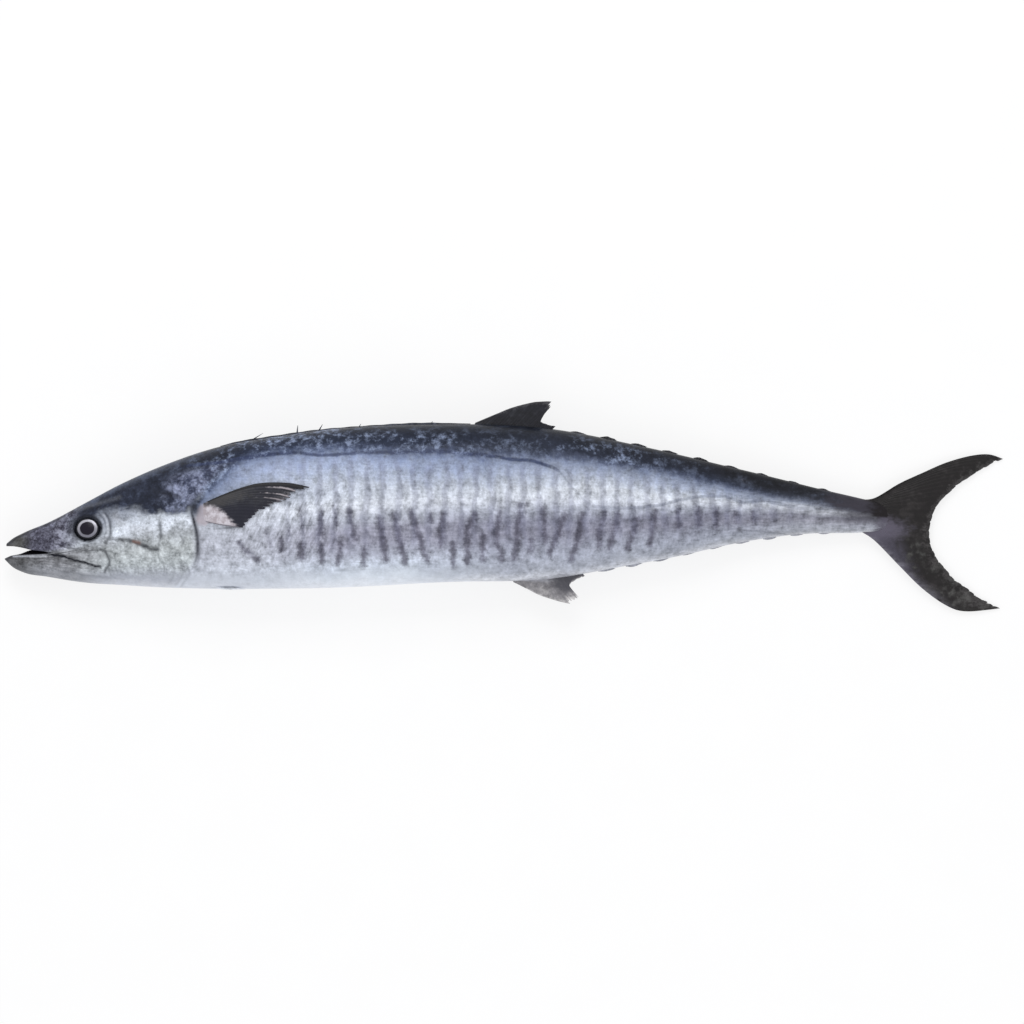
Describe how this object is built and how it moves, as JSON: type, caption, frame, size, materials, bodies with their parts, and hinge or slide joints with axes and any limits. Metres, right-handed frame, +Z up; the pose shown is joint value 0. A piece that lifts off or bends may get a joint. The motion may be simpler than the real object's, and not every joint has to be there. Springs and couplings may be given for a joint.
{
  "type": "spanish mackerel",
  "caption": "Whole Spanish mackerel, sold as wahoo: a long silver fish with dark wavy bars, a folded first dorsal fin, finlets and a forked tail, lying on its right flank.",
  "frame": {"origin": "on the slab, under the middle of the whole fish's box", "axes": "+X from the jaws to the tail, +Y from the belly to the back, +Z up from the slab, out of the left flank"},
  "size_m": [1, 0.2104, 0.0822],
  "materials": {
    "skin": "wet silver fish skin, near-black on the back and barred on the flank",
    "eye": "clear wet eye with a black pupil, a pale ring and a dark rim",
    "dark_fin": "thin near-black fin skin over fine rays",
    "pale_fin": "thin grey translucent fin skin over fine rays"
  },
  "bodies": {
    "root": {"body": "skin", "left_eye": "eye", "right_eye": "eye", "first_dorsal_fin": "dark_fin", "second_dorsal_fin": "dark_fin", "anal_fin": "pale_fin", "tail_fin": "dark_fin", "left_pectoral_fin": "dark_fin", "right_pectoral_fin": "dark_fin", "left_pelvic_fin": "pale_fin", "right_pelvic_fin": "pale_fin", "dorsal_finlet_1": "dark_fin", "dorsal_finlet_2": "dark_fin", "dorsal_finlet_3": "dark_fin", "dorsal_finlet_4": "dark_fin", "dorsal_finlet_5": "dark_fin", "dorsal_finlet_6": "dark_fin", "dorsal_finlet_7": "dark_fin", "dorsal_finlet_8": "dark_fin", "dorsal_finlet_9": "dark_fin", "anal_finlet_1": "pale_fin", "anal_finlet_2": "pale_fin", "anal_finlet_3": "pale_fin", "anal_finlet_4": "pale_fin", "anal_finlet_5": "pale_fin", "anal_finlet_6": "pale_fin", "anal_finlet_7": "pale_fin", "anal_finlet_8": "pale_fin", "anal_finlet_9": "pale_fin"}
  },
  "joints": []
}
